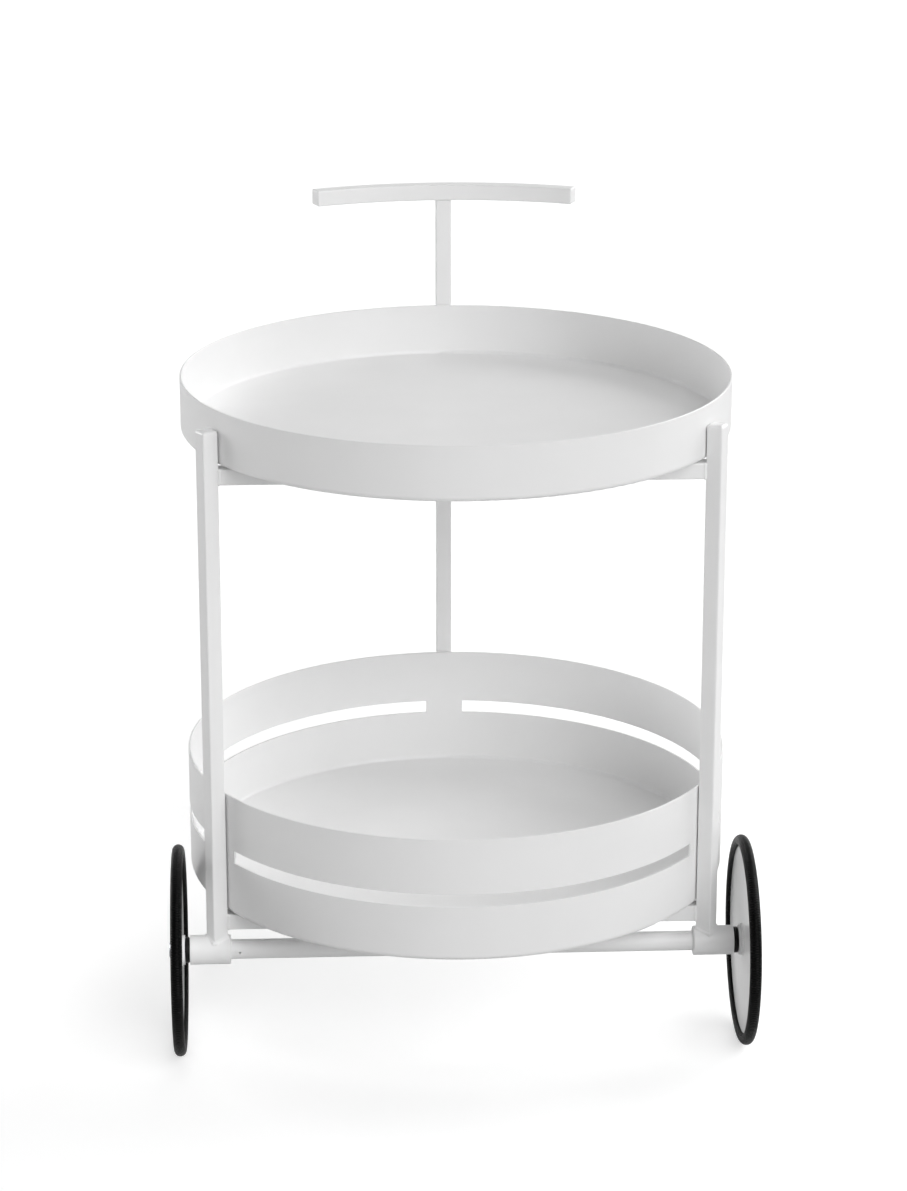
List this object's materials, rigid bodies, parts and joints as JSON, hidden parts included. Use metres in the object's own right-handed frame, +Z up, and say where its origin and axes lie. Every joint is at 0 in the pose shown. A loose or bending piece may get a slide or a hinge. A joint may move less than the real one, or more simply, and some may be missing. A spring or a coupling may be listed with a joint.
{
  "type": "two-tray trolley",
  "caption": "Round serving trolley with a lift-off upper tray and a deep slotted lower tray in a three-legged tube frame with a curved handle, a rear foot and large rubber-tyred wheels.",
  "frame": {"origin": "on the floor, in the middle of the trolley's footprint", "axes": "+Z up; +Y towards the leg with the handle; +X to the right for someone who looks at the trolley from the wheel side, towards the handle; the axle runs along X"},
  "size_m": [0.536, 0.516, 0.724],
  "materials": {
    "white_powder_coat": "satin white powder coat on steel",
    "tyre_rubber": "black solid rubber cord, finely ribbed",
    "black_nylon": "black nylon, turned or moulded",
    "white_nylon": "natural white nylon, moulded",
    "zinc_steel": "bright zinc plate on steel"
  },
  "bodies": {
    "frame": {"front_left_post": "white_powder_coat", "front_right_post": "white_powder_coat", "left_post_cap": "white_powder_coat", "right_post_cap": "white_powder_coat", "rear_post": "white_powder_coat", "rear_foot": "black_nylon", "handle_bar": "white_powder_coat", "handle_left_cap": "white_powder_coat", "handle_right_cap": "white_powder_coat", "upper_crossbar": "white_powder_coat", "upper_spine": "white_powder_coat", "lower_crossbar": "white_powder_coat", "lower_spine": "white_powder_coat", "lower_tray": "white_powder_coat", "upper_tray_pads": "white_nylon", "lower_tray_studs": "white_powder_coat", "lower_tray_washers": "zinc_steel", "lower_tray_nuts": "zinc_steel", "axle_tube": "white_powder_coat", "left_axle_sleeve": "white_powder_coat", "left_axle_bolt": "zinc_steel", "left_axle_washer": "zinc_steel", "right_axle_sleeve": "white_powder_coat", "right_axle_bolt": "zinc_steel", "right_axle_washer": "zinc_steel"},
    "upper_tray": {"upper_tray": "white_powder_coat"},
    "left_wheel": {"left_tyre": "tyre_rubber", "left_wheel_disc": "white_powder_coat", "left_hub": "white_powder_coat", "left_hub_bush": "black_nylon"},
    "right_wheel": {"right_tyre": "tyre_rubber", "right_wheel_disc": "white_powder_coat", "right_hub": "white_powder_coat", "right_hub_bush": "black_nylon"}
  },
  "joints": [
    {"name": "left_wheel_spin", "type": "hinge", "parent": "frame", "child": "left_wheel", "pos_m": [-0.2587, -0.13725, 0.0965], "axis": [1, 0, 0], "continuous": true},
    {"name": "right_wheel_spin", "type": "hinge", "parent": "frame", "child": "right_wheel", "pos_m": [0.2587, -0.13725, 0.0965], "axis": [1, 0, 0], "continuous": true},
    {"name": "upper_tray_lift", "type": "slide", "parent": "frame", "child": "upper_tray", "axis": [0, 0, 1], "range_m": [0, 0.2]}
  ]
}
